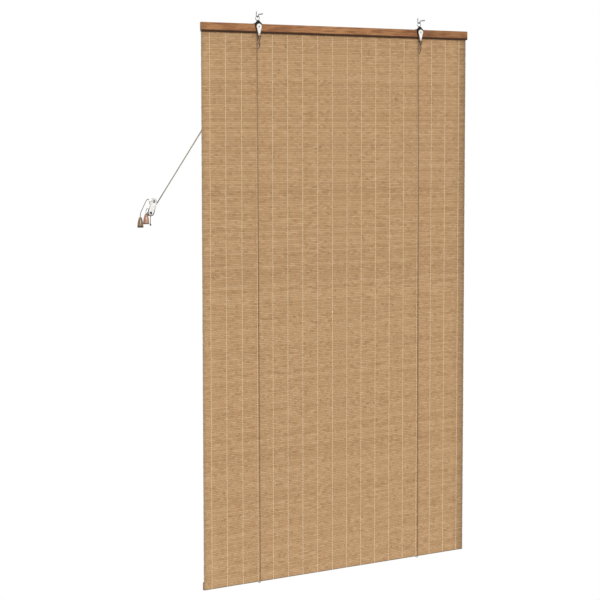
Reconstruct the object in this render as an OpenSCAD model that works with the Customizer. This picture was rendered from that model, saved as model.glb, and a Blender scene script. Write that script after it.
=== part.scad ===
// Bamboo roll-up blind. A slatted mat hangs from a wooden head rail on two screw hooks.
// Two cords lift its bottom edge: each runs under the mat, up over a sheave and on to a cleat.
// The origin is midway between the two hook shanks, at the wall.
// +X runs along the rail, +Y from the wall into the room, and +Z up.

/* [Mat] */
// Width of the mat
mat_w = 900; // [700:10:1200]
// Height from the top of the head rail to the bottom edge of the mat
drop = 1600; // [1400:10:1800]
// Height of one slat
slat_pitch = 5; // [4:0.5:8]
// Thickness of a slat
slat_t = 3; // [2.2:0.1:3.6]
// Thickness left where two slats meet
web_t = 1.2; // [0.6:0.1:1.8]
// Height of the bevel along each edge of a slat
slat_bevel = 0.9; // [0.5:0.1:1.4]
// Number of open gaps between slats
gap_count = 116; // [40:1:116]
// Height of an open gap
gap_h = 0.8; // [0.4:0.1:1.2]
// Length of an open gap
gap_l = 36; // [20:1:44]
// Spacing of the warp threads
thread_pitch = 50; // [50:1:80]
// Width of a warp thread
thread_w = 2; // [1:0.1:3]
// Thickness of a warp thread
thread_t = 0.4; // [0.2:0.1:0.6]

/* [Rail and battens] */
// Overhang of the rail at each end of the mat
rail_over = 1; // [0:0.5:10]
// Height of the head rail and of the top batten
rail_h = 26; // [24:1:30]
// Thickness of the head rail
rail_t = 7.5; // [6.5:0.5:9]
// Radius of the rail's front edges
rail_edge_r = 3; // [1:0.5:3.5]
// Thickness of the top batten
batten_t = 5; // [4:0.5:8]
// Radius of the battens' outer edges
batten_edge_r = 1.5; // [0.5:0.5:2]
// Height of the bottom batten
bottom_h = 22; // [16:1:30]
// Thickness of the bottom batten
bottom_t = 6; // [4:0.5:7]
// Spacing of the tacks
tack_pitch = 200; // [100:50:200]
// Diameter of a tack's shank
tack_d = 1.6; // [1.2:0.1:2]
// Diameter of a tack's head
tack_head_d = 4.4; // [3:0.2:6]

/* [Hangers] */
// Distance of each hanger from the middle of the blind
hanger_x = 275; // [200:5:300]
// Distance from the wall to the middle of the mat
wall_gap = 18; // [17:0.5:24]
// Diameter of the hook's wire
hook_d = 3.2; // [2.6:0.1:3.6]
// Length of the hook's screw in the wall
hook_screw_l = 17; // [10:1:30]
// Depth of the hook's dip below its shank
hook_dip = 7.3; // [6:0.1:8.5]
// Bend radius where the shank turns down
hook_neck_r = 4; // [3.5:0.1:5]
// Bend radius of the hook's bowl
hook_bowl_r = 6; // [5.5:0.1:7]
// Height of the hook's tip above its shank
hook_tip = 9; // [6:0.5:14]
// Radius of the eye's ring, to the middle of its wire
eye_r = 6; // [5.5:0.1:7]
// Diameter of the ring's wire
eye_d = 2.2; // [1.8:0.1:2.6]
// Height of the ring's centre above the rail
eye_z = 15.5; // [15:0.5:20]
// Diameter of the eye's screw
eye_screw_d = 2.6; // [2:0.1:3]
// Depth of the eye's screw in the rail
eye_depth = 14; // [10:1:18]
// Height of the black collar
collar_h = 6.2; // [4:0.1:6.4]
// Radius of the collar at its foot
collar_r = 3.6; // [3:0.1:3.6]
// Thickness of the hanger plate
plate_t = 1.2; // [0.8:0.1:1.4]
// Width of the hanger plate at the rail's top
plate_w = 24; // [20:1:26]
// Width of the hanger plate's neck, above the rail
plate_neck_w = 7; // [5:0.5:9]
// Height of the hanger plate's neck above the rail
plate_neck_z = 9; // [6:0.5:11]
// Radius of the hanger plate's lower tip
plate_tip_r = 4; // [3:0.1:4.2]
// Thickness of the front cheek
cheek_t = 1; // [0.8:0.1:1.2]
// Radius of the front cheek round the axle
cheek_r = 8; // [6.6:0.1:8.4]
// Radius of the front cheek's lower tip
cheek_tip_r = 3; // [2.4:0.1:3.6]
// Drop of the sheave's axle below the rail's top
axle_drop = 8; // [8:0.5:10]
// Drop of the becket pin below the rail's top
becket_drop = 30; // [29:0.5:31]

/* [Sheaves] */
// Radius of the cord's run round the sheave
pitch_r = 5; // [4.6:0.1:5.2]
// Radius of the sheave's rim
rim_r = 6.2; // [5.8:0.1:6.6]
// Width of the sheave
sheave_w = 3.6; // [3.2:0.1:3.8]
// Diameter of the axle
axle_d = 3; // [2.4:0.1:3.4]
// Diameter of the axle rivet's head
axle_head_d = 4.4; // [4:0.1:6]
// Diameter of the becket pin's barrel
becket_d = 5; // [4:0.1:5.2]
// Diameter of the becket pin's bead
bead_d = 6.8; // [5:0.1:7.4]
// Diameter of the becket pin's ends
becket_end_d = 2.2; // [1.6:0.1:3]

/* [Cords and fittings] */
// Diameter of the cords
cord_d = 2; // [1.6:0.1:2.2]
// Side of the openings where the cords pass through the mat
cord_hole = 4; // [3:0.1:5]
// Radius of a cord guide's ring, to the middle of its wire
guide_r = 4.4; // [4:0.1:5]
// Diameter of a cord guide's wire
guide_d = 1.8; // [1.4:0.1:2]
// Distance of each cord guide from the middle of the blind
guide_x = 250; // [245:1:255]
// Depth of a cord guide's screw in the batten
guide_depth = 4; // [3:0.5:4.5]
// Length of the cleat's foot
cleat_l = 50; // [48:1:56]
// Width of the cleat's foot
cleat_w = 20; // [16:0.5:20]
// Thickness of the cleat's foot
cleat_t = 2.5; // [2:0.1:2.6]
// Distance between the cleat's screw holes
cleat_hole_pitch = 33; // [30:1:34]
// Diameter of the cleat's screw holes
cleat_hole_d = 4; // [3:0.1:5]
// Diameter of the cleat's stem
cleat_stem_d = 12; // [10:0.5:12]
// Height of the horns above the foot
cleat_throat = 7.5; // [7.2:0.1:14]
// Thickness of the horns at the stem
cleat_horn_t = 4; // [3:0.1:6]
// Width of the horns
cleat_horn_w = 12; // [10:0.5:12]
// Lean of the cleat from upright
cleat_lean = 17; // [0:1:30]
// Height of a tassel
tassel_h = 28; // [26:1:34]
// Radius of a tassel at its foot
tassel_r = 8.5; // [7:0.1:8.6]
// Radius of a tassel at its top
tassel_top_r = 3.4; // [2.6:0.1:4.4]

/* [Hidden] */
$fn = 48;

// Clearances: round a fixed shank, beside a turning face, round a turning bore, and round a cord
fit = 0.1;
side_gap = 0.3;
run_gap = 0.08;
cord_gap = 0.3;
// Overlap of a cutter past the face that it cuts
over = 1;

// Mat: whole slats from the bottom edge up
slat_count = floor((drop - 2) / slat_pitch);
mat_top = -drop + slat_count * slat_pitch;
mat_front = -slat_t / 2;
mat_back = slat_t / 2;
thread_count = floor(mat_w / thread_pitch);
thread_x0 = -thread_pitch * (thread_count - 1) / 2;
// Rows of slats at the top and bottom that have no gaps
plain_rows = 8;
// Step from one gap's bay to the next
bay_step = 7;

// Rail, battens and tacks
rail_front = mat_front - rail_t;
rail_mid = mat_front - rail_t / 2;
bottom_back = mat_back + bottom_t;
bottom_z = -drop + bottom_h;
tack_count = floor((mat_w - 60) / tack_pitch) + 1;
tack_x0 = -tack_pitch * (tack_count - 1) / 2;
tack_head_h = 0.8;
// Depth of a tack's point past the mat, in the rail, and its distance from the mat's face below
tack_bite = 5;
tack_short = 0.5;

// Hanger, with heights from the rail's top
hook_low = eye_z + eye_r - eye_d / 2 - hook_d / 2 - fit;
hang_drop = hook_low + hook_dip;
hook_turn = acos(1 - hook_dip / (hook_neck_r + hook_bowl_r));
hook_neck_y = rail_mid - (hook_neck_r + hook_bowl_r) * sin(hook_turn);
plate_front = rail_front - plate_t;
cheek_space = sheave_w + 2 * side_gap;
cheek_back = plate_front - cheek_space;
cord_y = plate_front - cheek_space / 2;
groove_r = cord_d / 2 + cord_gap;
rivet_l = plate_t + cheek_space + cheek_t;
rivet_head_h = 0.9;
bead_h = 1.8;
knot_r = 2.4;
knot_h = 5.2;
knot_top = -becket_drop - becket_d / 2 - cord_gap;

// Cord guides on the room side of the top batten
batten_back = mat_back + batten_t;
guide_y = batten_back + guide_d / 2 + fit + guide_r;
guide_z = -20;

// Cleat, from the back of its foot, and tassels, from their tops
cleat_at = [-599.5, 5, -509];
cleat_under_r = 60;
cleat_top_r = 90;
wrap_r = cleat_stem_d / 2 + cord_d / 2 + cord_gap;
tassel_left_at = [-632, 14, -536];
tassel_right_at = [-614.5, 14, -527];
tassel_recess_r = 4.2;
tassel_recess_h = 9;
tassel_knot_r = 3.2;
tassel_knot_h = 6.5;
tassel_steps = 12;
// Fullness of the tassel's bell: below 1 it widens soon
tassel_swell = 0.8;
tail_knot_r = 2.6;
tail_knot_h = 6;

// Cord routes: places where the cords pass through the mat, beside a hanger
pull_hole = [6, 0, -46];
lift_hole = [5, 0, -70];
// Lift cord, from the becket knot through the mat, under it and up to the sheave
lift_route = [[0, -12.6, -38], [0, -12.6, -42], [2, -12, -49], [4.5, -10, -57], [5, -6, -65],
    [5, -1.5, -69.5], [5, 2.5, -71], [5, 5.5, -75], [5, 6, -81], [5, 10.5, 10 - drop],
    [5, 10.3, 2 - drop], [5, 8, -2.5 - drop], [5, 3, -3.5 - drop], [5, -2, -2.5 - drop],
    [5, -5, 2 - drop], [5, -5.2, 10 - drop], [-5, -12.3, -24], [-5, -12.3, -10]];
// Pull cord, from the sheave down and through the mat
pull_start = [-5, -12.3, -10];
pull_drop = [[5, -12.3, -12], [6, -12.2, -26], [6.5, -11.4, -36], [6.4, -8.4, -43],
    [6, -3, -45.7], [6, 2, -46]];
// Left pull cord, from the mat to the cleat, and from there to its tassel
left_run = [[5.2 - hanger_x, 6, -47.5], [3.7 - hanger_x, 9, -51.5], [-hanger_x, 10.3, -58.2]];
left_turns = [-34, -63, -92, -121, -150, -180];
left_y = 8.8;
left_tail = [[-606.6, 9.2, -502], [-606.2, 10, -494], [-607.2, 11, -488.6], [-610.2, 11.8, -486.8],
    [-613.8, 12.5, -489.8], [-618.2, 13, -498], [-624.6, 13.6, -511], [-629.8, 14, -521.5],
    [-631.8, 14, -529], tassel_left_at];
// Right pull cord, along the batten through the guides, then beside the left one
right_run = [[hanger_x + 5.6, 6, -45.2], [hanger_x + 4, 9.6, -41.5], [hanger_x, 11.6, -36],
    [hanger_x - 9, 12.2, -28.5], [guide_x + 7, 12.2, -22.4], [guide_x, 12.2, -20.8],
    [-guide_x, 12.2, -20.8], [-guide_x - 4, 12.2, -23.6], [-guide_x - 8, 12.1, -30]];
right_turns = [-34, -59, -84, -109, -135];
right_y = 11.3;
right_tail = [[-607.7, 11.9, -512.4], [-610.9, 12.9, -512.6], [-613.4, 13.6, -516],
    [-614.4, 14, -521.5], tassel_right_at];
// Spare tail: one turn over the cleat's stem, then down to its knot
spare_turns = [170, 140, 110, 80, 50, 20, -10, -40];
spare_y = 13.6;
spare_drop = [[-596.3, 13.6, -517.5], [-598.8, 13.6, -523], [-600.9, 13.5, -530],
    [-602, 13.3, -539], [-602.2, 13, -554]];
// Turn of the cord over the sheave, in degrees
sheave_turns = [180, 135, 90, 45, 0];
cord_sides = 8;

function unit(v) = v / norm(v);
function shifted(route, x) = [for (p = route) p + [x, 0, 0]];
function outline_point(i, side) = let (z = -drop + i * slat_pitch, s = side / 2)
    [[s * web_t, z], [s * slat_t, z + slat_bevel], [s * slat_t, z + slat_pitch - slat_bevel]];
function mat_edge(side) = concat(
    [for (i = [0 : slat_count - 1]) each outline_point(i, side)],
    [[side / 2 * web_t, mat_top]]);
function reversed(list) = [for (i = [len(list) - 1 : -1 : 0]) list[i]];
function over_sheave(x) = [for (a = sheave_turns)
    [x + pitch_r * cos(a), cord_y, -axle_drop + pitch_r * sin(a)]];
function round_stem(turns, y) = [for (a = turns)
    [cleat_at.x + wrap_r * cos(a), y, cleat_at.z + wrap_r * sin(a)]];
function tail_end(at) = at - [0, 0, tassel_h - tassel_recess_h + cord_gap];
function pull_route(x, run, turns, y, tail) = concat(
    [pull_start + [x, 0, 0]], over_sheave(x), shifted(pull_drop, x), run,
    round_stem(turns, y), tail, [tail_end(tail[len(tail) - 1])]);

// Rings of a swept cord: each ring's side direction is carried on from the ring before
function heading(p, i) = i == 0 ? unit(p[1] - p[0])
    : i == len(p) - 1 ? unit(p[i] - p[i - 1])
    : unit(unit(p[i + 1] - p[i]) + unit(p[i] - p[i - 1]));
function carried(u, t) = unit(u - (u * t) * t);
function sides(p, i = 0, u = [0, 1, 0.1]) = i == len(p) ? []
    : let (w = carried(u, heading(p, i))) concat([w], sides(p, i + 1, w));

module hang() { translate([0, wall_gap, -hang_drop]) children(); }
module along_x(l) { rotate([90, 0, 90]) linear_extrude(l, center = true) children(); }
// Turns a shape that stands along +Z to point at the wall
module to_wall(p) { translate(p) rotate([90, 0, 0]) children(); }

module cord(p) {
    u = sides(p);
    points = [for (i = [0 : len(p) - 1]) let (v = cross(heading(p, i), u[i]))
        for (k = [0 : cord_sides - 1]) let (a = 360 * k / cord_sides)
            p[i] + cord_d / 2 * (cos(a) * u[i] + sin(a) * v)];
    walls = [for (i = [0 : len(p) - 2]) for (k = [0 : cord_sides - 1])
        let (a = i * cord_sides, n = (k + 1) % cord_sides)
            [a + k, a + cord_sides + k, a + cord_sides + n, a + n]];
    first = [for (k = [0 : cord_sides - 1]) k];
    last = [for (k = [cord_sides - 1 : -1 : 0]) (len(p) - 1) * cord_sides + k];
    polyhedron(points, concat([first, last], walls));
}

// Section of a bar that lies flat on the mat, with its outer edges rounded
module bar_section(h, t, r) {
    translate([0, -h]) square([t - r, h]);
    translate([0, r - h]) square([t, h - 2 * r]);
    for (z = [-r, r - h]) translate([t - r, z]) circle(r);
}

module tack_holes(y, l, z) {
    for (i = [0 : tack_count - 1])
        to_wall([tack_x0 + i * tack_pitch, y + over, z]) cylinder(h = l + 2 * over, d = tack_d + 2 * fit);
}

module tacks(y, l, z) {
    shank = tack_d / 2;
    for (i = [0 : tack_count - 1])
        to_wall([tack_x0 + i * tack_pitch, y, z])
            rotate_extrude() polygon([[0, -tack_head_h], [tack_head_d / 2 - 0.4, -tack_head_h],
                [tack_head_d / 2, 0], [shank, 0], [shank, l - tack_d], [0, l]]);
}

module head_rail() {
    color("peru") hang() difference() {
        along_x(mat_w + 2 * rail_over)
            translate([mat_front, 0]) mirror([1, 0]) bar_section(rail_h, rail_t, rail_edge_r);
        for (x = [-hanger_x, hanger_x])
            translate([x, rail_mid, -eye_depth - fit])
                cylinder(h = eye_depth + over, d = eye_screw_d + 2 * fit);
        tack_holes(mat_front, tack_bite - over, -rail_h / 2);
    }
}

module top_batten() {
    color("sienna") hang() difference() {
        along_x(mat_w) translate([mat_back, 0]) bar_section(rail_h, batten_t, batten_edge_r);
        tack_holes(batten_back, batten_t, -rail_h / 2);
        for (x = [-guide_x, guide_x])
            to_wall([x, batten_back + over, guide_z])
                cylinder(h = guide_depth + over + fit, d = guide_d + 2 * fit);
    }
}

module batten_tacks() {
    color("dimgray") hang()
        tacks(batten_back, batten_t + slat_t + tack_bite - fit, -rail_h / 2);
}

module bamboo_mat() {
    bays = thread_count - 1;
    rows = slat_count - 2 * plain_rows;
    color("burlywood") hang() difference() {
        along_x(mat_w) polygon(concat(mat_edge(-1), reversed(mat_edge(1))));
        for (i = [0 : gap_count - 1]) {
            bay = (i * bay_step) % bays;
            row = plain_rows + floor(i * rows / gap_count);
            translate([thread_x0 + (bay + 0.5) * thread_pitch, 0, -drop + row * slat_pitch])
                cube([gap_l, slat_t + 2 * over, gap_h], center = true);
        }
        for (x = [-hanger_x, hanger_x], hole = [pull_hole, lift_hole])
            translate([x, 0, 0] + hole) cube([cord_hole, slat_t + 2 * over, cord_hole], center = true);
        tack_holes(mat_back, slat_t, -rail_h / 2);
        tack_holes(mat_back, slat_t, -drop + bottom_h / 2);
    }
}

module warp_threads() {
    color("wheat") hang() for (i = [0 : thread_count - 1])
        translate([thread_x0 + i * thread_pitch - thread_w / 2, 0, 0]) {
            translate([0, mat_front - thread_t, -drop + slat_bevel])
                cube([thread_w, thread_t, drop - rail_h - slat_bevel - fit]);
            translate([0, mat_back, bottom_z + fit])
                cube([thread_w, thread_t, -rail_h - bottom_z - 2 * fit]);
        }
}

module bottom_batten() {
    color("sienna") hang() difference() {
        along_x(mat_w)
            translate([mat_back, bottom_z]) bar_section(bottom_h, bottom_t, batten_edge_r);
        tack_holes(bottom_back, bottom_t, -drop + bottom_h / 2);
    }
}

module bottom_tacks() {
    color("dimgray") hang()
        tacks(bottom_back, bottom_t + slat_t - tack_short, -drop + bottom_h / 2);
}

// Arc of wire in the plane across the wall, from angle a to angle b above +Y
module wire_arc(y, z, r, a, b) {
    translate([0, y, z]) rotate([90, 0, 90]) rotate([0, 0, a])
        rotate_extrude(angle = b - a) translate([r, 0]) circle(d = hook_d);
}

// Slight bead that joins two stretches of the bent wire
module wire_joint(y, z) { translate([0, y, z]) sphere(d = hook_d + fit / 2); }

module screw_hook(x) {
    shank_l = hook_screw_l + wall_gap + hook_neck_y;
    bowl_z = hook_low + hook_bowl_r;
    tip_y = rail_mid + hook_bowl_r;
    tip_l = hang_drop + hook_tip - bowl_z - hook_d / 2;
    turn_y = hook_neck_y + hook_neck_r * sin(hook_turn);
    turn_z = hang_drop - hook_neck_r * (1 - cos(hook_turn));
    color("silver") hang() translate([x, 0, 0]) {
        to_wall([0, hook_neck_y, hang_drop]) cylinder(h = shank_l, d = hook_d);
        wire_arc(hook_neck_y, hang_drop - hook_neck_r, hook_neck_r, 90 - hook_turn, 90);
        wire_arc(rail_mid, bowl_z, hook_bowl_r, 270 - hook_turn, 360);
        translate([0, tip_y, bowl_z]) cylinder(h = tip_l, d = hook_d);
        wire_joint(hook_neck_y, hang_drop);
        wire_joint(turn_y, turn_z);
        wire_joint(tip_y, bowl_z);
        wire_joint(tip_y, bowl_z + tip_l);
    }
}

module screw_eye(x) {
    color("gray") hang() translate([x, rail_mid, 0]) {
        translate([0, 0, eye_z]) rotate([90, 0, 0])
            rotate_extrude() translate([eye_r, 0]) circle(d = eye_d);
        translate([0, 0, -eye_depth]) cylinder(h = eye_depth + eye_z - eye_r, d = eye_screw_d);
    }
}

module eye_collar(x) {
    bore_r = eye_screw_d / 2 + fit;
    color("black") hang() translate([x, rail_mid, plate_t])
        rotate_extrude() polygon([[bore_r, 0], [collar_r, 0], [collar_r, collar_h / 3],
            [bore_r + 1, collar_h], [bore_r, collar_h]]);
}

// Flat strip that tapers from half-width a at height top to half-width b at height low
module taper(a, top, b, low) { polygon([[-a, top], [a, top], [b, low], [-b, low]]); }

// Cutters for the axle and the becket pin, through a cheek of thickness t
module cheek_holes(t) {
    translate([0, -axle_drop, -over]) cylinder(h = t + 2 * over, d = axle_d + 2 * fit);
    translate([0, -becket_drop, -over]) cylinder(h = t + 2 * over, d = becket_end_d + 2 * fit);
}

module hanger_plate(x) {
    color("dimgray") hang() translate([x, 0, 0]) difference() {
        union() {
            to_wall([0, rail_front, 0]) linear_extrude(plate_t) {
                taper(plate_neck_w / 2, plate_neck_z, plate_w / 2, 0);
                taper(plate_w / 2, plate_t, plate_tip_r - fit, -becket_drop);
                translate([0, -becket_drop]) circle(plate_tip_r);
            }
            translate([-plate_w / 2, plate_front, 0]) cube([plate_w, mat_front - plate_front, plate_t]);
        }
        to_wall([0, rail_front, 0]) cheek_holes(plate_t);
        translate([0, rail_mid, -over]) cylinder(h = plate_t + 2 * over, d = eye_screw_d + 2 * fit);
    }
}

// Drop shape: two round ends, and a strip between them that stays clear of both holes
module front_cheek(x) {
    top_off = axle_d;
    tip_off = cheek_tip_r / 2;
    top_w = sqrt(cheek_r * cheek_r - top_off * top_off) - fit;
    tip_w = sqrt(cheek_tip_r * cheek_tip_r - tip_off * tip_off) - fit;
    color("gainsboro") hang() to_wall([x, cheek_back, 0]) difference() {
        union() {
            linear_extrude(cheek_t) taper(top_w, -axle_drop - top_off, tip_w, tip_off - becket_drop);
            translate([0, -axle_drop, 0]) cylinder(h = cheek_t, r = cheek_r);
            translate([0, -becket_drop, 0]) cylinder(h = cheek_t, r = cheek_tip_r);
        }
        cheek_holes(cheek_t);
    }
}

module sheave(x) {
    bore_r = axle_d / 2 + run_gap;
    color("darkslategray") hang() to_wall([x, plate_front - side_gap, -axle_drop])
        rotate_extrude() difference() {
            translate([bore_r, 0]) square([rim_r - bore_r, sheave_w]);
            translate([pitch_r, sheave_w / 2]) circle(groove_r);
            translate([pitch_r, sheave_w / 2 - groove_r]) square([rim_r, 2 * groove_r]);
        }
}

module axle_rivet(x) {
    r = axle_d / 2;
    head_r = axle_head_d / 2;
    color("darkgray") hang() to_wall([x, rail_front, -axle_drop])
        rotate_extrude() polygon([[0, 0], [r, 0], [r, rivet_l], [head_r, rivet_l],
            [head_r - 0.6, rivet_l + rivet_head_h], [0, rivet_l + rivet_head_h]]);
}

module becket_pin(x) {
    r = becket_end_d / 2;
    barrel_r = becket_d / 2;
    bead_r = bead_d / 2;
    far = plate_t + cheek_space;
    color("sandybrown") hang() to_wall([x, rail_front, -becket_drop])
        rotate_extrude() polygon([[0, 0], [r, 0], [r, plate_t], [barrel_r, plate_t], [barrel_r, far],
            [r, far], [r, rivet_l], [bead_r, rivet_l], [bead_r, rivet_l + bead_h / 3],
            [bead_r * 0.7, rivet_l + bead_h * 0.85], [0, rivet_l + bead_h]]);
}

// Barrel-shaped knot that hangs from z = 0
module knot(r, h) {
    rotate_extrude() polygon([[0, 0], [r * 0.7, 0], [r, -h * 0.3], [r, -h * 0.7], [r * 0.7, -h], [0, -h]]);
}

module becket_knots() {
    color("saddlebrown") hang() for (x = [-hanger_x, hanger_x])
        translate([x, lift_route[0].y, knot_top]) knot(knot_r, knot_h);
}

module cord_guide(x) {
    ring_back = guide_y - guide_r;
    color("gray") hang() translate([x, 0, guide_z]) {
        translate([0, guide_y, 0]) rotate([0, 90, 0])
            rotate_extrude() translate([guide_r, 0]) circle(d = guide_d);
        to_wall([0, ring_back, 0]) cylinder(h = ring_back - batten_back + guide_depth, d = guide_d);
    }
}

module lift_cord(x) { color("saddlebrown") hang() cord(shifted(lift_route, x)); }

module pull_cord_left() {
    color("saddlebrown") hang()
        cord(pull_route(-hanger_x, left_run, left_turns, left_y, left_tail));
}

module pull_cord_right() {
    color("saddlebrown") hang()
        cord(pull_route(hanger_x, right_run, right_turns, right_y, right_tail));
}

module stadium(l, w) {
    square([w, l - w], center = true);
    for (s = [-1, 1]) translate([0, s * (l - w) / 2]) circle(d = w);
}

// Foot on the wall, round stem, and two horns that sweep away from the wall
module cleat() {
    horn_z = cleat_t + cleat_throat;
    color("silver") hang() translate(cleat_at)
        rotate([0, cleat_lean, 0]) rotate([-90, 0, 0]) {
            linear_extrude(cleat_t) difference() {
                stadium(cleat_l, cleat_w);
                for (s = [-1, 1]) translate([0, s * cleat_hole_pitch / 2]) circle(d = cleat_hole_d);
            }
            translate([0, 0, cleat_t]) cylinder(h = cleat_throat + cleat_horn_t / 2, d = cleat_stem_d);
            intersection() {
                along_x(cleat_horn_w) difference() {
                    intersection() {
                        translate([0, horn_z + cleat_under_r]) circle(cleat_under_r);
                        translate([-cleat_l, 0]) square([2 * cleat_l, horn_z + 2 * cleat_horn_t]);
                    }
                    translate([0, horn_z + cleat_horn_t + cleat_top_r]) circle(cleat_top_r);
                }
                linear_extrude(cleat_l) stadium(cleat_l, cleat_horn_w);
            }
        }
}

// Turned bell with a bore for the cord and a recess for its knot
module tassel(at) {
    bore_r = cord_d / 2 + cord_gap;
    bell = [for (i = [0 : tassel_steps]) let (s = i / tassel_steps)
        [tassel_top_r + (tassel_r - tassel_top_r) * pow(cos(90 * s), tassel_swell), s * tassel_h]];
    color("brown") hang() translate(at - [0, 0, tassel_h])
        rotate_extrude() polygon(concat(bell, [[bore_r, tassel_h], [bore_r, tassel_recess_h],
            [tassel_recess_r, tassel_recess_h], [tassel_recess_r, 0]]));
}

module tassel_knots() {
    color("saddlebrown") hang() for (at = [tassel_left_at, tassel_right_at])
        translate(tail_end(at)) knot(tassel_knot_r, tassel_knot_h);
}

module spare_tail() {
    color("saddlebrown") hang() cord(concat(round_stem(spare_turns, spare_y), spare_drop));
}

module tail_knot() {
    color("saddlebrown") hang()
        translate(spare_drop[len(spare_drop) - 1] - [0, 0, fit]) knot(tail_knot_r, tail_knot_h);
}

head_rail();
top_batten();
batten_tacks();
bamboo_mat();
warp_threads();
bottom_batten();
bottom_tacks();
screw_hook(-hanger_x);  // screw_hook_left
screw_hook(hanger_x);  // screw_hook_right
screw_eye(-hanger_x);  // screw_eye_left
screw_eye(hanger_x);  // screw_eye_right
eye_collar(-hanger_x);  // eye_collar_left
eye_collar(hanger_x);  // eye_collar_right
hanger_plate(-hanger_x);  // hanger_plate_left
hanger_plate(hanger_x);  // hanger_plate_right
front_cheek(-hanger_x);  // front_cheek_left
front_cheek(hanger_x);  // front_cheek_right
sheave(-hanger_x);  // sheave_left
sheave(hanger_x);  // sheave_right
axle_rivet(-hanger_x);  // axle_rivet_left
axle_rivet(hanger_x);  // axle_rivet_right
becket_pin(-hanger_x);  // becket_pin_left
becket_pin(hanger_x);  // becket_pin_right
becket_knots();
cord_guide(-guide_x);  // cord_guide_left
cord_guide(guide_x);  // cord_guide_right
lift_cord(-hanger_x);  // lift_cord_left
lift_cord(hanger_x);  // lift_cord_right
pull_cord_left();
pull_cord_right();
cleat();
tassel(tassel_left_at);  // tassel_left
tassel(tassel_right_at);  // tassel_right
tassel_knots();
spare_tail();
tail_knot();
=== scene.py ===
# Bamboo roll-up blind: slats, woven threads, braided cords, materials, light and camera
import math
import bpy
import numpy as np
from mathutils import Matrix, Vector


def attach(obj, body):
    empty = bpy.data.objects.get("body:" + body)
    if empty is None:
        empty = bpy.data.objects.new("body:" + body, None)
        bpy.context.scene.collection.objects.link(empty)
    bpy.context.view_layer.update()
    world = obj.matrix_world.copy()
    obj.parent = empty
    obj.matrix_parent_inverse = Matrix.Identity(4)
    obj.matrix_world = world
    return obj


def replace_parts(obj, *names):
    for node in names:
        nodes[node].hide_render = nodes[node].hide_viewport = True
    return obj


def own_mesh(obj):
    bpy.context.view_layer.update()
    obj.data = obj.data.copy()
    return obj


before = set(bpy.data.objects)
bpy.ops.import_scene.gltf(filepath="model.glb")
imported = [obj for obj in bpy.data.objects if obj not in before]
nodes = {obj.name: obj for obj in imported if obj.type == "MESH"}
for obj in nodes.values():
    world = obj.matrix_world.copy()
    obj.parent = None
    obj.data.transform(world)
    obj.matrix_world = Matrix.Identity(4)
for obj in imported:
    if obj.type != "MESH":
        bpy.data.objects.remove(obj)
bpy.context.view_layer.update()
MM = 0.001

# Values repeated from the part's source, in millimetres and degrees, with heights from the rail's top
WALL_GAP = 18
HANG_DROP = 26
MAT_W = 900
DROP = 1600
SLAT_PITCH = 5
SLAT_COUNT = 319
RAIL_H = 26
THREAD_COUNT = 18
THREAD_PITCH = 50
HANGER_X = 275
CORD_D = 2
CLEAT = (-599.5, 5, -509)
WRAP_R = 7.3
CLEAT_LEAN = 17
CLEAT_HALF_W = 10
CLEAT_STRAIGHT = 15
CLEAT_HOLE_AT = 16.5
AXLE_DROP = 8
CORD_Y = -12.3
PITCH_R = 5
TASSEL_H = 28
TASSEL_R = 8.5
TASSEL_TOP_R = 3.4
TASSEL_BORE = 1.3
TASSEL_RECESS_R = 4.2
TASSEL_RECESS_H = 9
TASSEL_SWELL = 0.8
TASSEL_TOPS = {"left": (-632, 14, -536), "right": (-614.5, 14, -527)}
SIDES = {"left": -HANGER_X, "right": HANGER_X}


def at(p):
    """A point of the blind's own frame, in millimetres, as a point of the row frame, in metres."""
    return Vector((p[0] * MM, (p[1] + WALL_GAP) * MM, (p[2] - HANG_DROP) * MM))


def height_of(z):
    """A height of the blind's own frame, in millimetres, as one of the row frame, in metres."""
    return at((0, 0, z)).z


# Camera at the photograph's viewing angle, in metres and degrees; sensor and lens are in millimetres
CAMERA_AT = (-2.5224, -4.0613, -0.3184)
CAMERA_DIP = 4.4
CAMERA_TURN = -30.994
SENSOR_W = 36
LENS = 98.4
SHIFT = (-0.0307, -0.0763)
VIEW_REACH = 100
camera_data = bpy.data.cameras.new("camera")
camera = bpy.data.objects.new("camera", camera_data)
bpy.context.scene.collection.objects.link(camera)
camera.location = CAMERA_AT
camera.rotation_euler = (math.radians(90 - CAMERA_DIP), 0, math.radians(CAMERA_TURN))
camera_data.sensor_width = SENSOR_W
camera_data.lens = LENS
camera_data.shift_x, camera_data.shift_y = SHIFT
camera_data.clip_end = VIEW_REACH
bpy.context.scene.camera = camera


# Node helpers
def feed(tree, socket, value):
    """Link a socket to another one, or set it to a value."""
    if isinstance(value, bpy.types.NodeSocket):
        tree.links.new(value, socket)
    else:
        socket.default_value = value


def named(sockets, name):
    """The socket of that name among those in use."""
    return next(s for s in sockets if s.enabled and s.name == name)


def put(tree, kind, props=None, **sockets):
    """Add a node, set its properties, and set or link its inputs by name."""
    node = tree.nodes.new(kind)
    for key, value in (props or {}).items():
        setattr(node, key, value)
    for key, value in sockets.items():
        feed(tree, named(node.inputs, key.replace("_", " ")), value)
    return node


def math_node(tree, operation, a, b=0.0):
    node = tree.nodes.new("ShaderNodeMath")
    node.operation = operation
    for socket, value in zip(node.inputs, (a, b)):
        feed(tree, socket, value)
    return node.outputs[0]


def times(tree, a, b):
    return math_node(tree, "MULTIPLY", a, b)


def inverse(tree, value):
    return math_node(tree, "SUBTRACT", 1.0, value)


def ramp(tree, value, start, end):
    """0 before the start, 1 past the end and straight between them; the start may be the greater."""
    node = put(tree, "ShaderNodeMapRange", {"clamp": True}, Value=value, From_Min=start, From_Max=end)
    return node.outputs[0]


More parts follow.
